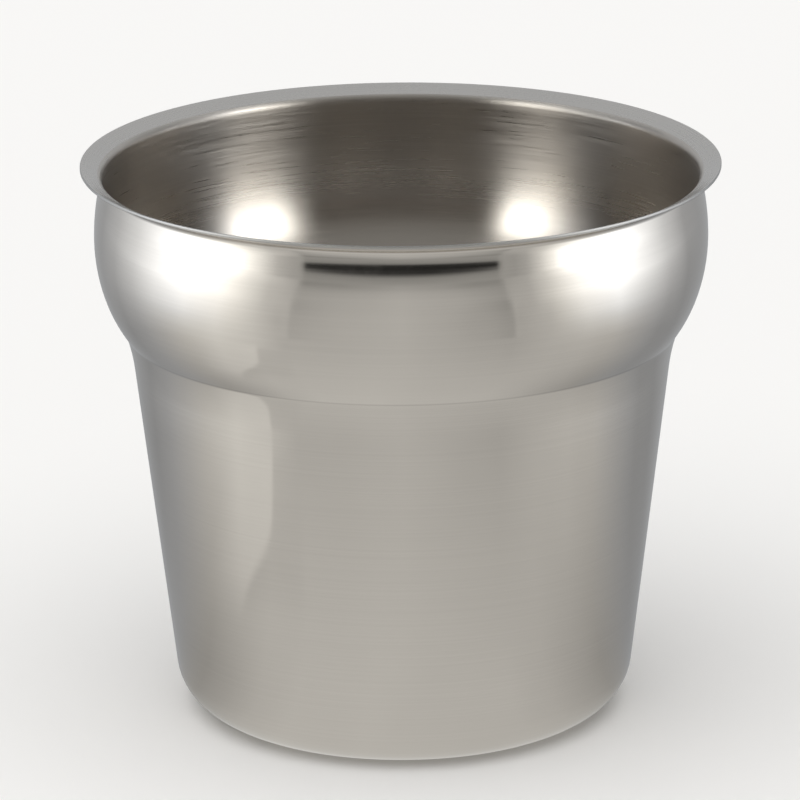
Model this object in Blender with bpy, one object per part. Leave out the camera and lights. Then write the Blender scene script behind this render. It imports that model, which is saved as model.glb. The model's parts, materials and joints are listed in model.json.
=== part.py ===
"""Round inset pot for a soup kettle or a round bain-marie well.

One piece of stainless sheet, deep drawn: a flat floor, a wall that opens
upwards, a swollen shoulder that rests on the edge of a round well, and a rim
flange that flares outwards.  Metres, +Z up.  The origin is the centre of the
floor's underside, and +Z is the pot's axis.
"""
from math import acos, asin, atan2, cos, pi, radians, sin, sqrt, tan

import bmesh
import bpy

# ---------------------------------------------------------------- dimensions
HEIGHT = 0.2135             # floor's underside to the top edge of the rim
RIM_RADIUS = 0.1205         # outside of the rim flange

SHEET = 0.0008              # sheet thickness of the floor, wall and shoulder
RIM_SHEET = 0.0010          # the flange gathers and thickens towards its edge
EDGE_BREAK = 0.0002         # both corners of the trimmed edge are broken

FLANGE_SLOPE = radians(24.0)    # the flange rises outwards at this angle
FOLD_RADIUS = 0.0020            # outside radius of the fold under the flange

SHOULDER_RADIUS = 0.1158        # the shoulder's widest ring
SHOULDER_DROP = 0.0286          # that ring, below the top edge of the rim
UPPER_SHOULDER_ARC = 0.0900     # profile radius above the widest ring
NECK_LEAN = radians(-11.8)      # the shoulder leans in by this much at the neck
NECK_HOLLOW = 0.0500            # long hollow from there up to the fold
MIDDLE_SHOULDER_ARC = 0.0660    # profile radius just below it
MIDDLE_SHOULDER_LEAN = radians(20.0)
LOWER_SHOULDER_ARC = 0.0510     # profile radius of the seat, down to the waist
LOWER_SHOULDER_LEAN = radians(36.0)

WAIST_FILLET = 0.0040           # tight hollow where the shoulder meets the wall
WAIST_FILLET_LEAN = radians(18.0)
WAIST_BLEND = 0.0720            # long hollow that runs out into the wall
WALL_TAPER = radians(6.7)       # the wall leans outwards by this much
CORNER_RADIUS = 0.0190          # between the wall and the floor, outside

SEGMENTS = 64                   # facets round the axis

STAINLESS = (0.62, 0.60, 0.57)
ROUGHNESS = 0.16
METALLIC = 1.0


# ------------------------------------------------------------ profile helpers
# A station on the outer skin is (radius, height, lean, thickness).  The lean
# is the angle of the skin from the vertical, positive where it opens upwards,
# so the skin's outward normal is (cos(lean), -sin(lean)).

def arc_up(start, radius, lean_from, lean_to, steps, hollow=False):
    """Stations after `start` along an arc walked upwards.

    A full arc turns about a centre on the axis' side, and a hollow one about
    a centre outside the pot.
    """
    side = -1.0 if hollow else 1.0
    centre_r = start[0] - side * radius * cos(lean_from)
    centre_z = start[1] + side * radius * sin(lean_from)
    stations = []
    for i in range(1, steps + 1):
        lean = lean_from + (lean_to - lean_from) * i / steps
        stations.append((centre_r + side * radius * cos(lean),
                         centre_z - side * radius * sin(lean), lean, SHEET))
    return stations


def chord(radius, lean_from, lean_to, hollow=False):
    """Rise in radius and height over an arc walked from one lean to another."""
    side = -1.0 if hollow else 1.0
    return (side * radius * (cos(lean_to) - cos(lean_from)),
            side * radius * (sin(lean_from) - sin(lean_to)))


def waist_bottom():
    """Top of the straight wall: the shoulder and waist arcs walked down."""
    r, z = SHOULDER_RADIUS, HEIGHT - SHOULDER_DROP
    for radius, low, high, hollow in (
            (MIDDLE_SHOULDER_ARC, MIDDLE_SHOULDER_LEAN, 0.0, False),
            (LOWER_SHOULDER_ARC, LOWER_SHOULDER_LEAN, MIDDLE_SHOULDER_LEAN, False),
            (WAIST_FILLET, WAIST_FILLET_LEAN, LOWER_SHOULDER_LEAN, True),
            (WAIST_BLEND, WALL_TAPER, WAIST_FILLET_LEAN, True)):
        dr, dz = chord(radius, low, high, hollow)
        r, z = r - dr, z - dz
    return r, z


def fold():
    """Lean of the neck's hollow where the fold under the flange takes over.

    The fold's circle touches the hollow's circle from inside, and the
    flange's underside from below.
    """
    hollow_r = (SHOULDER_RADIUS - UPPER_SHOULDER_ARC
                + (UPPER_SHOULDER_ARC + NECK_HOLLOW) * cos(NECK_LEAN))
    hollow_z = (HEIGHT - SHOULDER_DROP
                - (UPPER_SHOULDER_ARC + NECK_HOLLOW) * sin(NECK_LEAN))
    edge_z = HEIGHT - RIM_SHEET / cos(FLANGE_SLOPE)
    # centre = (p - run * cos, q - run * sin), seen from the hollow's centre
    p = RIM_RADIUS + FOLD_RADIUS * sin(FLANGE_SLOPE) - hollow_r
    q = edge_z - FOLD_RADIUS * cos(FLANGE_SLOPE) - hollow_z
    reach = NECK_HOLLOW - FOLD_RADIUS
    b = p * cos(FLANGE_SLOPE) + q * sin(FLANGE_SLOPE)
    run = b + sqrt(b * b - (p * p + q * q - reach * reach))
    return atan2(q - run * sin(FLANGE_SLOPE), run * cos(FLANGE_SLOPE) - p)


def outer_skin():
    """Stations from the floor's flat, round the corner and up to the rim."""
    wall_top = waist_bottom()
    # the corner's circle touches the floor and the wall's straight line
    flat = (wall_top[0] - (wall_top[1] - CORNER_RADIUS) * tan(WALL_TAPER)
            - CORNER_RADIUS / cos(WALL_TAPER))
    skin = [(flat, 0.0, pi / 2, SHEET)]
    skin += arc_up(skin[-1], CORNER_RADIUS, pi / 2, WALL_TAPER, 6)
    skin.append((wall_top[0], wall_top[1], WALL_TAPER, SHEET))
    skin += arc_up(skin[-1], WAIST_BLEND, WALL_TAPER, WAIST_FILLET_LEAN, 2, hollow=True)
    skin += arc_up(skin[-1], WAIST_FILLET, WAIST_FILLET_LEAN, LOWER_SHOULDER_LEAN, 2, hollow=True)
    skin += arc_up(skin[-1], LOWER_SHOULDER_ARC, LOWER_SHOULDER_LEAN, MIDDLE_SHOULDER_LEAN, 2)
    skin += arc_up(skin[-1], MIDDLE_SHOULDER_ARC, MIDDLE_SHOULDER_LEAN, 0.0, 3)
    fold_lean = fold()
    skin += arc_up(skin[-1], UPPER_SHOULDER_ARC, 0.0, NECK_LEAN, 3)
    skin += arc_up(skin[-1], NECK_HOLLOW, NECK_LEAN, fold_lean, 1, hollow=True)
    skin += arc_up(skin[-1], FOLD_RADIUS, fold_lean, pi / 2 - FLANGE_SLOPE, 5, hollow=True)
    return skin


def profile():
    """Closed half section: outer skin, trimmed edge, inner skin."""
    skin = outer_skin()
    under = [(r, z) for r, z, lean, sheet in skin]
    inside = [(r - sheet * cos(lean), z + sheet * sin(lean))
              for r, z, lean, sheet in skin]
    low = HEIGHT - RIM_SHEET / cos(FLANGE_SLOPE)
    slope = (cos(FLANGE_SLOPE), sin(FLANGE_SLOPE))
    edge = [(RIM_RADIUS - EDGE_BREAK * slope[0], low - EDGE_BREAK * slope[1]),
            (RIM_RADIUS, low + EDGE_BREAK),
            (RIM_RADIUS, HEIGHT - EDGE_BREAK),
            (RIM_RADIUS - EDGE_BREAK, HEIGHT)]
    return under + edge + inside[::-1]


# ------------------------------------------------------------------ modelling
def clear_scene():
    for obj in list(bpy.data.objects):
        bpy.data.objects.remove(obj, do_unlink=True)


def stainless():
    material = bpy.data.materials.new("stainless")
    material.use_nodes = True
    shader = material.node_tree.nodes["Principled BSDF"]
    shader.inputs["Base Color"].default_value = STAINLESS + (1.0,)
    shader.inputs["Metallic"].default_value = METALLIC
    shader.inputs["Roughness"].default_value = ROUGHNESS
    material.diffuse_color = STAINLESS + (1.0,)
    return material


def turned(name, section):
    """Spin an open chain, which starts and ends at the floor, and cap it."""
    bm = bmesh.new()
    verts = [bm.verts.new((r, 0.0, z)) for r, z in section]
    edges = [bm.edges.new(pair) for pair in zip(verts, verts[1:])]
    bmesh.ops.spin(bm, geom=verts + edges, cent=(0.0, 0.0, 0.0),
                   axis=(0.0, 0.0, 1.0), angle=2.0 * pi, steps=SEGMENTS,
                   use_merge=True)
    # the two rings left open are the floor's underside and its upper face
    rim_edges = [edge for edge in bm.edges if edge.is_boundary]
    bmesh.ops.holes_fill(bm, edges=rim_edges, sides=SEGMENTS)
    bmesh.ops.recalc_face_normals(bm, faces=bm.faces)
    mesh = bpy.data.meshes.new(name)
    bm.to_mesh(mesh)
    bm.free()
    mesh.shade_smooth()
    mesh.set_sharp_from_angle(angle=radians(30.0))
    return mesh


def main():
    clear_scene()
    pot = bpy.data.objects.new("inset_pot", turned("inset_pot", profile()))
    pot.data.materials.append(stainless())
    bpy.context.scene.collection.objects.link(pot)


main()
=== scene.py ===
"""Looks for the round stainless inset pot.

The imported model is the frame.  Its one CAD node is replaced by the same
section turned more finely, with a finish for each surface: polished outside,
brushed inside, satin flange and a trimmed edge.  Metres, +Z up, and the front
is -Y.
"""
import json
from math import acos, asin, atan2, cos, degrees, pi, radians, sin, sqrt, tan

import bpy
import numpy as np
from mathutils import Matrix

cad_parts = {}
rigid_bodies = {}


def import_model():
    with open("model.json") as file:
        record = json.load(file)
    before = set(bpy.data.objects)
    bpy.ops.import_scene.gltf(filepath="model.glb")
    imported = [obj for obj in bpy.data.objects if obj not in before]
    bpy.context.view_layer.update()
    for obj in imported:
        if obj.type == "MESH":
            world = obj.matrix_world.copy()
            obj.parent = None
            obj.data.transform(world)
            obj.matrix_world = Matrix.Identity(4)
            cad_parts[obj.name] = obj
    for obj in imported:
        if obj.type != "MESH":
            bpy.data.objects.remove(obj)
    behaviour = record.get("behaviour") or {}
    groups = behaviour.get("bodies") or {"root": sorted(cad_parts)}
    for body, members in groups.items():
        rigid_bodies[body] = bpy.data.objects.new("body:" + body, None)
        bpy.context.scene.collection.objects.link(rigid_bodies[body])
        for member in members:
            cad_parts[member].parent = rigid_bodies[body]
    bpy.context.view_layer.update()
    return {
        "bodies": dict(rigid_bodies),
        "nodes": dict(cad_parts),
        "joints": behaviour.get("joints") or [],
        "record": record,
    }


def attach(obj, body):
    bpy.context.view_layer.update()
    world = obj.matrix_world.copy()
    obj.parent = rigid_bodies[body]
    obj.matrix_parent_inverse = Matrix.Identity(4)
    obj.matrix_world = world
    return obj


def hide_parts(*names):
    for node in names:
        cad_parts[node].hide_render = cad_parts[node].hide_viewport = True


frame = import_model()

# ------------------------------------------------------------------ the pot
HEIGHT = 0.2135
RIM_RADIUS = 0.1205
SHEET = 0.0008
RIM_SHEET = 0.0010
EDGE_BREAK = 0.0002
FLANGE_SLOPE = radians(24.0)
FOLD_RADIUS = 0.0020
SHOULDER_RADIUS = 0.1158
SHOULDER_DROP = 0.0286
UPPER_SHOULDER_ARC = 0.0900
NECK_LEAN = radians(-11.8)
NECK_HOLLOW = 0.0500
MIDDLE_SHOULDER_ARC = 0.0660
MIDDLE_SHOULDER_LEAN = radians(20.0)
LOWER_SHOULDER_ARC = 0.0510
LOWER_SHOULDER_LEAN = radians(36.0)
WAIST_FILLET = 0.0040
WAIST_FILLET_LEAN = radians(18.0)
WAIST_BLEND = 0.0720
WALL_TAPER = radians(6.7)
CORNER_RADIUS = 0.0190

SEGMENTS = 320

# surface zones, which are also the material slots
OUTSIDE, INSIDE, FLANGE, EDGE = range(4)


def arc_up(start, radius, lean_from, lean_to, steps, hollow=False):
    """Stations (r, z, lean, sheet) along an arc walked upwards from `start`."""
    side = -1.0 if hollow else 1.0
    centre_r = start[0] - side * radius * cos(lean_from)
    centre_z = start[1] + side * radius * sin(lean_from)
    out = []
    for i in range(1, steps + 1):
        lean = lean_from + (lean_to - lean_from) * i / steps
        out.append((centre_r + side * radius * cos(lean),
                    centre_z - side * radius * sin(lean), lean, SHEET))
    return out


def chord(radius, lean_from, lean_to, hollow=False):
    side = -1.0 if hollow else 1.0
    return (side * radius * (cos(lean_to) - cos(lean_from)),
            side * radius * (sin(lean_from) - sin(lean_to)))


def waist_bottom():
    r, z = SHOULDER_RADIUS, HEIGHT - SHOULDER_DROP
    for radius, low, high, hollow in (
            (MIDDLE_SHOULDER_ARC, MIDDLE_SHOULDER_LEAN, 0.0, False),
            (LOWER_SHOULDER_ARC, LOWER_SHOULDER_LEAN, MIDDLE_SHOULDER_LEAN, False),
            (WAIST_FILLET, WAIST_FILLET_LEAN, LOWER_SHOULDER_LEAN, True),
            (WAIST_BLEND, WALL_TAPER, WAIST_FILLET_LEAN, True)):
        dr, dz = chord(radius, low, high, hollow)
        r, z = r - dr, z - dz
    return r, z


def fold():
    """Lean of the neck's hollow where the fold under the flange takes over."""
    hollow_r = (SHOULDER_RADIUS - UPPER_SHOULDER_ARC
                + (UPPER_SHOULDER_ARC + NECK_HOLLOW) * cos(NECK_LEAN))
    hollow_z = (HEIGHT - SHOULDER_DROP
                - (UPPER_SHOULDER_ARC + NECK_HOLLOW) * sin(NECK_LEAN))
    edge_z = HEIGHT - RIM_SHEET / cos(FLANGE_SLOPE)
    p = RIM_RADIUS + FOLD_RADIUS * sin(FLANGE_SLOPE) - hollow_r
    q = edge_z - FOLD_RADIUS * cos(FLANGE_SLOPE) - hollow_z
    reach = NECK_HOLLOW - FOLD_RADIUS
    b = p * cos(FLANGE_SLOPE) + q * sin(FLANGE_SLOPE)
    run = b + sqrt(b * b - (p * p + q * q - reach * reach))
    return atan2(q - run * sin(FLANGE_SLOPE), run * cos(FLANGE_SLOPE) - p)


def skin_stations():
    """Outer skin from the floor's flat up to the end of the fold."""
    wall_top = waist_bottom()
    flat = (wall_top[0] - (wall_top[1] - CORNER_RADIUS) * tan(WALL_TAPER)
            - CORNER_RADIUS / cos(WALL_TAPER))
    skin = [(flat, 0.0, pi / 2, SHEET)]
    skin += arc_up(skin[-1], CORNER_RADIUS, pi / 2, WALL_TAPER, 14)
    foot = skin[-1]
    for i in range(1, 23):
        t = i / 22.0
        skin.append((foot[0] + (wall_top[0] - foot[0]) * t,
                     foot[1] + (wall_top[1] - foot[1]) * t, WALL_TAPER, SHEET))
    skin += arc_up(skin[-1], WAIST_BLEND, WALL_TAPER, WAIST_FILLET_LEAN, 6, hollow=True)
    skin += arc_up(skin[-1], WAIST_FILLET, WAIST_FILLET_LEAN, LOWER_SHOULDER_LEAN, 5, hollow=True)
    skin += arc_up(skin[-1], LOWER_SHOULDER_ARC, LOWER_SHOULDER_LEAN, MIDDLE_SHOULDER_LEAN, 6)
    skin += arc_up(skin[-1], MIDDLE_SHOULDER_ARC, MIDDLE_SHOULDER_LEAN, 0.0, 8)
    fold_lean = fold()
    skin += arc_up(skin[-1], UPPER_SHOULDER_ARC, 0.0, NECK_LEAN, 8)
    skin += arc_up(skin[-1], NECK_HOLLOW, NECK_LEAN, fold_lean, 4, hollow=True)
    skin += arc_up(skin[-1], FOLD_RADIUS, fold_lean, pi / 2 - FLANGE_SLOPE, 9, hollow=True)
    return skin


def between(a, b, steps):
    return [(a[0] + (b[0] - a[0]) * i / steps, a[1] + (b[1] - a[1]) * i / steps)
            for i in range(1, steps + 1)]


def corner(point, before, after, radius, steps=3):
    """A small round at `point`, between the directions to its neighbours."""
    u = np.array(before) - np.array(point)
    v = np.array(after) - np.array(point)
    u /= np.linalg.norm(u)
    v /= np.linalg.norm(v)
    half = acos(max(-1.0, min(1.0, float(u @ v)))) / 2
    back = radius / tan(half)
    centre = np.array(point) + (u + v) / np.linalg.norm(u + v) * radius / sin(half)
    a = np.array(point) + u * back - centre
    b = np.array(point) + v * back - centre
    full = atan2(a[0] * b[1] - a[1] * b[0], float(a @ b))
    out = []
    for i in range(steps + 1):
        t = full * i / steps
        out.append((float(centre[0] + a[0] * cos(t) - a[1] * sin(t)),
                    float(centre[1] + a[0] * sin(t) + a[1] * cos(t))))
    return out


def section():
    """Rings (r, z, zone) from the underside's centre round to the floor's."""
    skin = skin_stations()
    low = HEIGHT - RIM_SHEET / cos(FLANGE_SLOPE)
    inner = [(r - sheet * cos(lean), z + sheet * sin(lean)) for r, z, lean, sheet in skin]
    flat = skin[0][0]

    rings = [(flat * i / 12.0, 0.0, OUTSIDE) for i in range(1, 12)]
    rings += [(r, z, OUTSIDE) for r, z, lean, sheet in skin]
    under_end, top_end = (skin[-1][0], skin[-1][1]), inner[-1]
    slope = (cos(FLANGE_SLOPE), sin(FLANGE_SLOPE))
    edge = [under_end,
            (RIM_RADIUS - EDGE_BREAK * slope[0], low - EDGE_BREAK * slope[1]),
            (RIM_RADIUS, low + EDGE_BREAK), (RIM_RADIUS, HEIGHT - EDGE_BREAK),
            (RIM_RADIUS - EDGE_BREAK, HEIGHT), top_end]
    rounds = [corner(edge[i], edge[i - 1], edge[i + 1], 0.00008, 2) for i in range(1, 5)]
    rings += [(r, z, OUTSIDE) for r, z in between(under_end, rounds[0][0], 5)]
    rings += [(r, z, EDGE) for r, z in rounds[0][1:] + rounds[1] + rounds[2] + rounds[3]]
    rings += [(r, z, FLANGE) for r, z in between(rounds[3][-1], top_end, 6)]
    turn = len(skin) - 1              # the flange's finish ends at the fold
    for i in range(len(skin) - 2, -1, -1):
        rings.append(inner[i] + (FLANGE if i >= turn else INSIDE,))
    flat = inner[0][0]
    rings += [(flat * i / 12.0, SHEET, INSIDE) for i in range(11, 0, -1)]
    return rings


def dents(theta, z):
    """Out-of-round and hand-polishing waves, under 0.05 mm, none at the ends."""
    window = np.clip(z / 0.05, 0, 1) ** 2 * np.clip((HEIGHT - 0.012 - z) / 0.03, 0, 1) ** 2
    wave = np.zeros_like(theta)
    for n, k, size, phase in (
            (2, 9.0, 0.022, 0.4), (3, 14.0, 0.016, 2.1), (5, 31.0, 0.008, 1.3),
            (7, 47.0, 0.0050, 4.0), (11, 83.0, 0.0026, 0.9), (16, 61.0, 0.0018, 5.2),
            (23, 121.0, 0.0010, 2.7)):
        wave += size * np.sin(n * theta + k * z + phase)
    return wave * window * 0.001


def turned(name):
    rings = section()
    r = np.array([s[0] for s in rings])
    z = np.array([s[1] for s in rings])
    arc = np.concatenate(([0.0], np.cumsum(np.hypot(np.diff(r), np.diff(z))))) + r[0]
    theta = 2 * pi * np.arange(SEGMENTS) / SEGMENTS
    tt, rr = np.meshgrid(theta, r)
    _, zz = np.meshgrid(theta, z)
    rr = rr + dents(tt, zz)
    co = np.stack([rr * np.cos(tt), rr * np.sin(tt), zz], axis=2).reshape(-1, 3)
    n = len(rings)
    count = n * SEGMENTS
    co = np.vstack([co, [0.0, 0.0, 0.0], [0.0, 0.0, SHEET]])
    faces, zones = [], []
    nxt = (np.arange(SEGMENTS) + 1) % SEGMENTS
    for i in range(n - 1):
        zone = rings[i + 1][2]
        for j in range(SEGMENTS):
            k = int(nxt[j])
            faces.append((i * SEGMENTS + j, i * SEGMENTS + k,
                          (i + 1) * SEGMENTS + k, (i + 1) * SEGMENTS + j))
            zones.append(zone)
    for j in range(SEGMENTS):
        k = int(nxt[j])
        faces.append((count, k, j))
        zones.append(OUTSIDE)
        faces.append((count + 1, (n - 1) * SEGMENTS + j, (n - 1) * SEGMENTS + k))
        zones.append(INSIDE)
    mesh = bpy.data.meshes.new(name)
    mesh.from_pydata([tuple(map(float, p)) for p in co], [], faces)
    mesh.polygons.foreach_set("material_index", zones)
    mesh.attributes.new("arc", "FLOAT", "POINT")
    values = np.concatenate([np.repeat(arc, SEGMENTS), [0.0, arc[-1] + r[-1]]])
    mesh.attributes["arc"].data.foreach_set("value", values.astype(np.float32))
    mesh.shade_smooth()
    mesh.update()
    mesh.validate()
    return mesh


# ------------------------------------------------------------- node helpers
class Tree:
    """Short calls for wiring shader nodes."""

    def __init__(self, owner):
        owner.use_nodes = True
        self.nodes = owner.node_tree.nodes
        self.links = owner.node_tree.links
        self.nodes.clear()

    def add(self, kind, **settings):
        node = self.nodes.new(kind)
        for key, value in settings.items():
            setattr(node, key, value)
        return node

    def put(self, socket, value):
        if isinstance(value, bpy.types.NodeSocket):
            self.links.new(value, socket)
        else:
            socket.default_value = value

    def math(self, operation, a, b=None, c=None, clamp=False):
        node = self.add("ShaderNodeMath", operation=operation, use_clamp=clamp)
        for socket, value in zip(node.inputs, (a, b, c)):
            if value is not None:
                self.put(socket, value)
        return node.outputs[0]

    def span(self, value, low, high, to_low=0.0, to_high=1.0, smooth=False):
        node = self.add("ShaderNodeMapRange",
                        interpolation_type="SMOOTHSTEP" if smooth else "LINEAR")
        node.clamp = True
        self.put(node.inputs["Value"], value)
        for key, number in (("From Min", low), ("From Max", high),
                            ("To Min", to_low), ("To Max", to_high)):
            self.put(node.inputs[key], number)
        return node.outputs["Result"]

    def mix(self, factor, a, b):
        node = self.add("ShaderNodeMix", data_type="FLOAT")
        self.put(node.inputs[0], factor)
        self.put(node.inputs[2], a)
        self.put(node.inputs[3], b)
        return node.outputs[0]

    def mix_colour(self, factor, a, b, blend="MIX"):
        node = self.add("ShaderNodeMix", data_type="RGBA", blend_type=blend)
        self.put(node.inputs[0], factor)
        self.put(node.inputs[6], a)
        self.put(node.inputs[7], b)
        return node.outputs[2]

    def ramp(self, factor, stops, scale=1.0, ease="LINEAR"):
        """Value along a ramp of (position, value), with values up to scale."""
        node = self.add("ShaderNodeValToRGB")
        band = node.color_ramp
        band.interpolation = ease
        while len(band.elements) > 1:
            band.elements.remove(band.elements[-1])
        for i, (place, value) in enumerate(stops):
            element = band.elements[0] if i == 0 else band.elements.new(place)
            element.position = place
            g = value / scale
            element.color = (g, g, g, 1.0)
        self.put(node.inputs[0], factor)
        if scale == 1.0:
            return node.outputs[0]
        return self.math("MULTIPLY", node.outputs[0], scale)

    def noise(self, vector, scale=1.0, detail=2.0, roughness=0.5):
        node = self.add("ShaderNodeTexNoise")
        self.put(node.inputs["Vector"], vector)
        self.put(node.inputs["Scale"], scale)
        self.put(node.inputs["Detail"], detail)
        self.put(node.inputs["Roughness"], roughness)
        return node.outputs["Fac"]

    def combine(self, x, y, z):
        node = self.add("ShaderNodeCombineXYZ")
        for socket, value in zip(node.inputs, (x, y, z)):
            self.put(socket, value)
        return node.outputs[0]


# ---------------------------------------------------------------- materials
WARM = (0.642, 0.612, 0.574)
INNER = (0.592, 0.556, 0.513)
NEUTRAL = (0.624, 0.601, 0.571)
DULL = (0.520, 0.515, 0.505)


def metal(name, colour, build, grain=0.0, dark=0.90):
    """A metal whose colour, roughness and relief come from `build`.

    With grain, it is brushed round the axis, so a light is drawn out across
    the brush lines.
    """
    material = bpy.data.materials.new(name)
    tree = Tree(material)
    out = tree.add("ShaderNodeOutputMaterial")
    shader = tree.add("ShaderNodeBsdfPrincipled")
    tree.links.new(shader.outputs[0], out.inputs[0])
    shader.inputs["Metallic"].default_value = 1.0
    if grain:
        shader.inputs["Anisotropic"].default_value = grain
        shader.inputs["Anisotropic Rotation"].default_value = 0.25
        tangent = tree.add("ShaderNodeTangent", direction_type="RADIAL", axis="Z")
        tree.links.new(tangent.outputs[0], shader.inputs["Tangent"])
    place = tree.add("ShaderNodeTexCoord").outputs["Object"]
    xyz = tree.add("ShaderNodeSeparateXYZ")
    tree.links.new(place, xyz.inputs[0])
    arc = tree.add("ShaderNodeAttribute", attribute_type="GEOMETRY",
                   attribute_name="arc").outputs["Fac"]

    def lines(round_the_axis, across, detail=2.0, roughness=0.5):
        """Noise drawn out round the axis: cells per metre each way."""
        vector = tree.combine(tree.math("MULTIPLY", xyz.outputs[0], round_the_axis),
                              tree.math("MULTIPLY", xyz.outputs[1], round_the_axis),
                              tree.math("MULTIPLY", arc, across))
        return tree.noise(vector, 1.0, detail, roughness)

    tone, rough, height, distance = build(tree, place, xyz, lines)
    tree.put(shader.inputs["Base Color"],
             tree.mix_colour(tone, tuple(c * dark for c in colour) + (1.0,),
                             tuple(min(1.0, c * 1.06) for c in colour) + (1.0,)))
    tree.put(shader.inputs["Roughness"], rough)
    bump = tree.add("ShaderNodeBump")
    bump.inputs["Strength"].default_value = 1.0
    bump.inputs["Distance"].default_value = distance
    tree.put(bump.inputs["Height"], height)
    tree.links.new(bump.outputs[0], shader.inputs["Normal"])
    return material


def outside_finish(tree, place, xyz, lines):
    """Buffed: fine rings, faint clouds, a few rubs, a dull seat ring, and a ring of painted shade darkening the
    colour at the waist crease.
    """
    fine = lines(6.0, 2600.0, 3.0, 0.6)
    broad = lines(3.0, 420.0, 2.0, 0.5)
    cloud = tree.noise(place, 24.0, 4.0, 0.55)
    smear = tree.noise(place, 75.0, 5.0, 0.6)
    seat = tree.ramp(tree.span(xyz.outputs[2], 0.140, 0.180),
                     [(0.0, 0.0), (0.26, 0.15), (0.34, 1.0), (0.44, 0.35), (0.62, 0.0)],
                     ease="EASE")
    worn = tree.math("MULTIPLY", seat, tree.span(fine, 0.40, 0.66))
    rough = tree.math("ADD", tree.span(cloud, 0.3, 0.7, 0.058, 0.085),
                      tree.span(fine, 0.3, 0.7, -0.008, 0.014))
    rough = tree.math("ADD", rough, tree.math("MULTIPLY", worn, 0.06))
    rough = tree.math("ADD", rough, tree.span(smear, 0.58, 0.72, 0.0, 0.02))
    # painted shade: the base colour is darkened in a thin ring along the waist crease, where the lower shoulder meets
    # the waist fillet
    crease_painted_shade = tree.ramp(tree.span(xyz.outputs[2], 0.1484, 0.1508),
                       [(0.0, 0.0), (0.30, 0.0), (0.46, 1.0), (0.54, 1.0), (0.70, 0.0)])
    tone = tree.math("ADD", tree.span(fine, 0.25, 0.75, 0.57, 0.77),
                     tree.span(cloud, 0.3, 0.7, -0.053, 0.067))
    tone = tree.math("SUBTRACT", tone, tree.math("MULTIPLY", crease_painted_shade, 0.62))
    height = tree.math("ADD", fine, tree.math("MULTIPLY", broad, 2.2))
    return tone, rough, height, 0.0000009


def inside_finish(tree, place, xyz, lines):
    """Brushed rings, coarser towards the mouth."""
    fine = lines(9.0, 2400.0, 4.0, 0.65)
    broad = lines(3.5, 360.0, 3.0, 0.6)
    scratch = lines(34.0, 1500.0, 3.0, 0.6)
    cloud = tree.noise(place, 20.0, 3.0, 0.5)
    top = tree.span(xyz.outputs[2], 0.158, 0.196, smooth=True)
    marks = tree.math("MULTIPLY", tree.math("SUBTRACT", scratch, 0.5),
                      tree.math("ADD", 0.15, top))
    rough = tree.math("ADD", tree.span(cloud, 0.3, 0.7, 0.21, 0.25),
                      tree.span(fine, 0.25, 0.75, -0.02, 0.03))
    rough = tree.math("ADD", rough, tree.math("MULTIPLY", top, 0.12))
    rough = tree.math("ADD", rough, tree.math("MULTIPLY", marks, 0.33))
    tone = tree.math("ADD", tree.span(fine, 0.2, 0.8, 0.20, 0.75),
                     tree.span(broad, 0.3, 0.7, -0.15, 0.15))
    tone = tree.math("ADD", tone, tree.math("MULTIPLY", marks, 1.0))
    height = tree.math("ADD", fine, tree.math("MULTIPLY", broad, 2.5))
    height = tree.math("ADD", height, tree.math("MULTIPLY", marks, 1.7))
    height = tree.math("MULTIPLY", height, tree.math("ADD", 0.6, tree.math("MULTIPLY", top, 1.8)))
    return tone, rough, height, 0.0000045


def flange_finish(tree, place, xyz, lines):
    """Even satin, with fine rings and light handling marks."""
    fine = lines(12.0, 3000.0, 3.0, 0.6)
    cloud = tree.noise(place, 60.0, 4.0, 0.55)
    rough = tree.math("ADD", tree.span(cloud, 0.3, 0.7, 0.24, 0.30),
                      tree.span(fine, 0.3, 0.7, -0.02, 0.03))
    tone = tree.math("ADD", tree.span(fine, 0.25, 0.75, 0.35, 0.65),
                     tree.span(cloud, 0.3, 0.7, -0.06, 0.06))
    return tone, rough, fine, 0.0000015


def edge_finish(tree, place, xyz, lines):
    """The trimmed edge, dull between its two bright broken corners."""
    grain = lines(30.0, 4000.0, 3.0, 0.6)
    nick = tree.noise(place, 900.0, 3.0, 0.5)
    rough = tree.math("ADD", tree.span(grain, 0.3, 0.7, 0.36, 0.46),
                      tree.span(nick, 0.55, 0.7, 0.0, 0.08))
    tone = tree.span(grain, 0.25, 0.75, 0.1, 0.5)
    return tone, rough, nick, 0.0000040


# ------------------------------------------------------------------- studio
def azimuth_stops(pairs, scale=1.0):
    """Ramp stops round the compass from (degrees from the front, value)."""
    return [((a + 180.0) / 360.0, v * scale) for a, v in sorted(pairs)]


TOP = 0.60          # pale ceiling and back wall
BRIGHT = 2.90       # the two side lights, near eye level
UPPER = 4.80        # and above it
RANGE = 3.0


def side_lights(tree, turn):
    """Radiance near eye level round the compass: two tall soft side lights."""
    return tree.ramp(turn, azimuth_stops([
        (-180, 0.60), (-160, 0.52), (-144, 0.46), (-136, 0.58), (-126, 0.84),
        (-116, 1.22), (-106, 1.80), (-97, BRIGHT), (-68, BRIGHT), (-61, 2.00),
        (-55, 1.40), (-50, 0.96), (-46, 0.68), (-40, 0.52), (-36, 0.50),
        (36, 0.48), (42, 0.46), (47, 0.56), (52, 0.90), (58, 1.55),
        (66, BRIGHT), (96, BRIGHT), (104, 1.70), (113, 1.06), (124, 0.68),
        (134, 0.46), (144, 0.42), (160, 0.50), (180, 0.60)]), RANGE)


def tint(tree, turn, wide=0.0):
    """Colour of the light round the compass: warm in front, neutral elsewhere."""
    side = tree.ramp(turn, azimuth_stops([
        (-180, 1.0), (-86 - wide, 1.0), (-60 - wide, 0.0),
        (56 + wide, 0.0), (82 + wide, 1.0), (180, 1.0)]))
    return tree.mix_colour(side, (1.00, 0.992, 0.955, 1.0), (0.962, 0.987, 1.015, 1.0))


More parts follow.
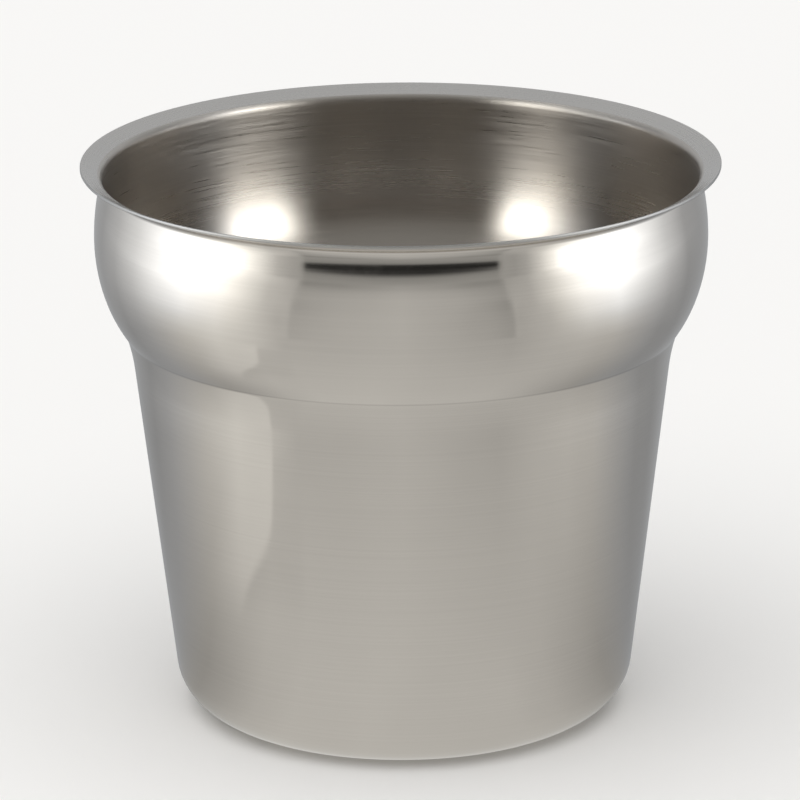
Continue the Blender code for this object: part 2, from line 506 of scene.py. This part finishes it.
def build_world():
    world = bpy.data.worlds.new("studio")
    bpy.context.scene.world = world
    tree = Tree(world)
    out = tree.add("ShaderNodeOutputWorld")
    direction = tree.add("ShaderNodeTexCoord").outputs["Generated"]
    xyz = tree.add("ShaderNodeSeparateXYZ")
    tree.links.new(direction, xyz.inputs[0])
    turn = tree.math("ARCTAN2", xyz.outputs[0], tree.math("MULTIPLY", xyz.outputs[1], -1.0))
    turn = tree.span(turn, -pi, pi)
    rise = tree.math("DIVIDE", tree.math("ARCSINE", xyz.outputs[2]), pi / 2)

    # near eye level: the side lights, and the dark opening behind the camera
    sides = side_lights(tree, turn)
    front = tree.ramp(rise, [
        (0.0, 0.42), (3.6 / 90, 0.34), (4.8 / 90, 0.02), (9.0 / 90, 0.02),
        (12.0 / 90, 0.05), (22.0 / 90, 0.06), (32.0 / 90, 0.13), (44.0 / 90, 0.24), (75.0 / 90, 0.24)], RANGE)
    opening = tree.ramp(turn, azimuth_stops([
        (-180, 0.0), (-37.0, 0.0), (-35.5, 1.0), (35.5, 1.0), (37.0, 0.0), (180, 0.0)]))
    # higher up, over the rim: the two lights stand closer together
    upper = tree.ramp(turn, azimuth_stops([
        (-180, TOP), (-150, TOP), (-122, 0.25), (-100, 0.08), (-86, 0.25), (-74, 1.10),
        (-65, 2.60), (-57, UPPER), (-46, UPPER), (-41, 1.40), (-36, 0.20), (36, 0.15), (42, 0.80),
        (52, UPPER), (70, UPPER), (79, 1.30), (88, 0.30), (100, 0.08), (122, 0.25),
        (150, TOP), (180, TOP)]), UPPER)
    low = tree.mix(tree.span(rise, 8.0 / 90, 13.0 / 90, smooth=True), sides, upper)
    low = tree.mix(opening, low, front)
    behind = tree.ramp(turn, azimuth_stops([
        (-180, 1.0), (-150, 1.0), (-122, 0.0), (122, 0.0), (150, 1.0), (180, 1.0)]), ease="EASE")
    high = tree.math("MULTIPLY", behind, tree.span(rise, 1.0 / 90, 9.0 / 90, smooth=True))
    studio = tree.mix(high, low, tree.span(rise, 8.0 / 90, 42.0 / 90, TOP * 0.90, TOP))
    # the ceiling: pale towards the back, dim over the camera
    ceiling = tree.span(xyz.outputs[1], -0.30, 0.15, 0.30, TOP, smooth=True)
    studio = tree.mix(tree.span(rise, 25.0 / 90, 43.0 / 90, smooth=True), studio, ceiling)

    seen = tree.add("ShaderNodeBackground")
    seen.inputs["Color"].default_value = (1.0, 0.995, 0.985, 1.0)
    seen.inputs["Strength"].default_value = PALE
    room = tree.add("ShaderNodeBackground")
    warm = tree.math("MULTIPLY", opening, tree.span(rise, 9.0 / 90, 14.0 / 90))
    warm = tree.math("MULTIPLY", warm, tree.span(rise, 36.0 / 90, 24.0 / 90))
    tree.put(room.inputs["Color"], tree.mix_colour(warm, tint(tree, turn), (1.16, 0.96, 0.78, 1.0)))
    tree.put(room.inputs["Strength"], studio)
    fill = tree.add("ShaderNodeBackground")
    fill.inputs["Strength"].default_value = 0.67
    path = tree.add("ShaderNodeLightPath")
    plain = tree.add("ShaderNodeMixShader")
    tree.put(plain.inputs[0], path.outputs["Is Camera Ray"])
    tree.links.new(fill.outputs[0], plain.inputs[1])
    tree.links.new(seen.outputs[0], plain.inputs[2])
    final = tree.add("ShaderNodeMixShader")
    tree.put(final.inputs[0], path.outputs["Is Glossy Ray"])
    tree.links.new(plain.outputs[0], final.inputs[1])
    tree.links.new(room.outputs[0], final.inputs[2])
    tree.links.new(final.outputs[0], out.inputs[0])


PALE = 0.93


def build_floor():
    """A wide pale floor: plain diffuse for the camera, and for reflections a glowing, painted pattern of light and
    shadow, with pools of the side lights' light and the pot's shadows beside it.
    """
    size = 80.0
    mesh = bpy.data.meshes.new("floor")
    z = -0.0002
    mesh.from_pydata([(-size, -size, z), (size, -size, z), (size, size, z), (-size, size, z)],
                     [], [(0, 1, 2, 3)])
    floor = bpy.data.objects.new("floor", mesh)
    bpy.context.scene.collection.objects.link(floor)

    material = bpy.data.materials.new("floor")
    tree = Tree(material)
    out = tree.add("ShaderNodeOutputMaterial")
    plain = tree.add("ShaderNodeBsdfDiffuse")
    plain.inputs["Color"].default_value = (0.88, 0.877, 0.87, 1.0)

    xyz = tree.add("ShaderNodeSeparateXYZ")
    tree.links.new(tree.add("ShaderNodeTexCoord").outputs["Object"], xyz.inputs[0])
    x, y = xyz.outputs[0], xyz.outputs[1]
    turn = tree.math("ARCTAN2", x, tree.math("MULTIPLY", y, -1.0))
    turn = tree.span(turn, -pi, pi)
    reach = tree.math("SQRT", tree.math("ADD", tree.math("MULTIPLY", x, x),
                                        tree.math("MULTIPLY", y, y)))
    # painted light and shadow, seen only in reflections: brighter towards the two side lights and further out, darker
    # beside the pot where its shadow is painted
    near = tree.ramp(turn, azimuth_stops([
        (-180, 0.38), (-142, 0.36), (-112, 0.37), (-82, 0.40), (-67, 0.50), (-52, 0.63),
        (-37, 0.70), (-10, 0.71), (10, 0.68), (37, 0.66), (52, 0.60), (67, 0.50),
        (82, 0.40), (112, 0.34), (142, 0.36), (180, 0.38)], 1.010), RANGE)
    middle = tree.ramp(turn, azimuth_stops([
        (-180, 0.38), (-142, 0.35), (-127, 0.33), (-112, 0.42), (-97, 0.55), (-82, 0.71),
        (-67, 0.86), (-52, 0.77), (-40, 0.60), (-22, 0.60), (0, 0.63), (22, 0.56),
        (37, 0.53), (52, 0.61), (67, 0.66), (82, 0.62), (97, 0.48), (112, 0.36),
        (127, 0.33), (142, 0.37), (180, 0.38)], 1.035), RANGE)
    outer = tree.ramp(turn, azimuth_stops([
        (-180, 0.38), (-142, 0.38), (-127, 0.46), (-112, 0.69), (-97, 1.06), (-82, 1.33),
        (-67, 1.22), (-52, 0.82), (-43, 0.58), (-30, 0.56), (0, 0.62), (22, 0.52),
        (40, 0.50), (52, 0.64), (67, 1.11), (82, 1.27), (97, 0.86), (112, 0.54),
        (127, 0.36), (142, 0.37), (180, 0.38)], 1.060), RANGE)
    far = tree.ramp(turn, azimuth_stops([
        (-180, 0.42), (-142, 0.42), (-127, 0.62), (-112, 1.02), (-97, 1.62), (-82, 2.10),
        (-66, 1.72), (-56, 1.15), (-48, 0.74), (-39, 0.60), (-37, 0.50), (-22, 0.55),
        (0, 0.61), (20, 0.55), (34, 0.46), (36.5, 0.44), (38.5, 0.54), (46, 0.58), (54, 0.90), (66, 1.60), (82, 2.10),
        (97, 1.45), (112, 0.85), (127, 0.46), (142, 0.39), (180, 0.42)], 1.045), RANGE)
    painted_floor_light = tree.mix(tree.span(reach, 0.13, 0.33), near, middle)
    painted_floor_light = tree.mix(tree.span(reach, 0.33, 0.58), painted_floor_light, outer)
    painted_floor_light = tree.mix(tree.span(reach, 0.58, 1.10), painted_floor_light, far)
    distant = tree.ramp(turn, azimuth_stops([
        (-180, 0.46), (-142, 0.44), (-127, 0.70), (-112, 1.15), (-97, 1.90), (-82, BRIGHT),
        (-66, 2.30), (-56, 1.35), (-48, 0.86), (-40, 0.62), (-37.5, 0.56), (-36, 0.35),
        (-22, 0.38), (0, 0.50), (14, 0.45), (26, 0.37), (36, 0.36), (37.5, 0.50),
        (46, 0.58), (54, 0.98), (66, 2.20), (82, BRIGHT), (97, 1.80), (112, 0.98),
        (127, 0.50), (142, 0.42), (180, 0.46)]), RANGE)
    painted_floor_light = tree.mix(tree.span(reach, 1.40, 6.0), painted_floor_light, distant)
    # painted light and shade: a brighter and a darker step along the edge of the left light's beam, from beside the
    # pot outwards
    over = tree.math("ADD", tree.math("MULTIPLY", x, 0.677), tree.math("MULTIPLY", y, -0.736))
    over = tree.math("ADD", over, tree.span(y, -0.165, -0.080, 0.0, 0.036, smooth=True))
    lit = tree.ramp(tree.span(over, -0.1008, 0.0392),
                    [(0.0, 0.5), (0.555, 1.0), (0.60, 0.0), (1.0, 0.5)])
    near_by = tree.math("MULTIPLY", tree.span(reach, 0.17, 0.22, smooth=True),
                        tree.span(reach, 0.345, 0.300, smooth=True))
    near_by = tree.math("MULTIPLY", near_by, tree.span(x, 0.0, -0.05))
    painted_beam_step = tree.math("MULTIPLY", tree.math("SUBTRACT", lit, 0.5), 0.16)
    painted_floor_light = tree.math("ADD", painted_floor_light, tree.math("MULTIPLY", painted_beam_step, near_by))

    # painted shade and light: two straight edges of the dark opening, each a dark strip beside a bright one, further
    # out in front
    frame = tree.ramp(turn, azimuth_stops([
        (-180, 0.5), (-50, 0.5), (-39.8, 0.64), (-38.9, 0.64), (-38.3, 0.18), (-30, 0.42),
        (-22, 0.5), (18, 0.5), (30, 0.36), (37.5, 0.08), (38.0, 0.08), (38.5, 0.72),
        (39.3, 0.72), (41, 0.55), (52, 0.5), (180, 0.5)]))
    frame = tree.math("MULTIPLY", tree.math("SUBTRACT", frame, 0.5), 0.18)
    frame = tree.math("MULTIPLY", frame, tree.span(reach, 0.385, 0.405, smooth=True))
    frame = tree.math("MULTIPLY", frame, tree.span(reach, 1.40, 0.90, smooth=True))
    painted_floor_light = tree.math("ADD", painted_floor_light, frame)

    # painted light: the floor glows with this pattern, but only for glossy rays
    painted_light_emission = tree.add("ShaderNodeEmission")
    tree.put(painted_light_emission.inputs["Color"],
             tree.mix_colour(tree.span(reach, 0.32, 0.50), tint(tree, turn, 24), tint(tree, turn)))
    tree.put(painted_light_emission.inputs["Strength"], painted_floor_light)
    path = tree.add("ShaderNodeLightPath")
    final = tree.add("ShaderNodeMixShader")
    tree.put(final.inputs[0], path.outputs["Is Glossy Ray"])
    tree.links.new(plain.outputs[0], final.inputs[1])
    tree.links.new(painted_light_emission.outputs[0], final.inputs[2])
    tree.links.new(final.outputs[0], out.inputs[0])
    mesh.materials.append(material)


def build_light():
    """A very wide soft light overhead, for the floor and the contact shadow."""
    data = bpy.data.lights.new("overhead", "SUN")
    data.energy = 1.75
    data.angle = radians(80.0)
    data.color = (1.0, 0.99, 0.975)
    light = bpy.data.objects.new("overhead", data)
    bpy.context.scene.collection.objects.link(light)
    light.rotation_euler = (radians(14.0), radians(-8.0), 0.0)
    light.visible_glossy = False
    light.visible_camera = False


def build_camera():
    data = bpy.data.cameras.new("camera")
    data.sensor_fit = "HORIZONTAL"
    data.sensor_width = 36.0
    data.lens = 238.38
    data.clip_start, data.clip_end = 0.05, 200.0
    camera = bpy.data.objects.new("camera", data)
    bpy.context.scene.collection.objects.link(camera)
    turn = (Matrix.Rotation(radians(0.027), 4, "Z") @ Matrix.Rotation(radians(90.0 - 17.37), 4, "X")
            @ Matrix.Rotation(radians(-0.437), 4, "Z"))
    camera.matrix_world = Matrix.Translation((0.0, -16.0 * RIM_RADIUS,
                                              HEIGHT + 4.219 * RIM_RADIUS)) @ turn
    bpy.context.scene.camera = camera


# --------------------------------------------------------------------- make
pot = bpy.data.objects.new("inset_pot_surface", turned("inset_pot_surface"))
bpy.context.scene.collection.objects.link(pot)
for name, colour, build, grain, dark in (
        ("polished_outside", WARM, outside_finish, 0.0, 0.82),
        ("brushed_inside", INNER, inside_finish, 0.9, 0.90),
        ("satin_flange", NEUTRAL, flange_finish, 0.0, 0.90),
        ("trimmed_edge", DULL, edge_finish, 0.0, 0.90)):
    pot.data.materials.append(metal(name, colour, build, grain, dark))
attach(pot, "root")
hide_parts("inset_pot")

build_floor()
build_light()
build_world()
build_camera()

view = bpy.context.scene.view_settings
view.view_transform = "Standard"
view.look = "None"
view.exposure = 0.0
view.gamma = 1.0
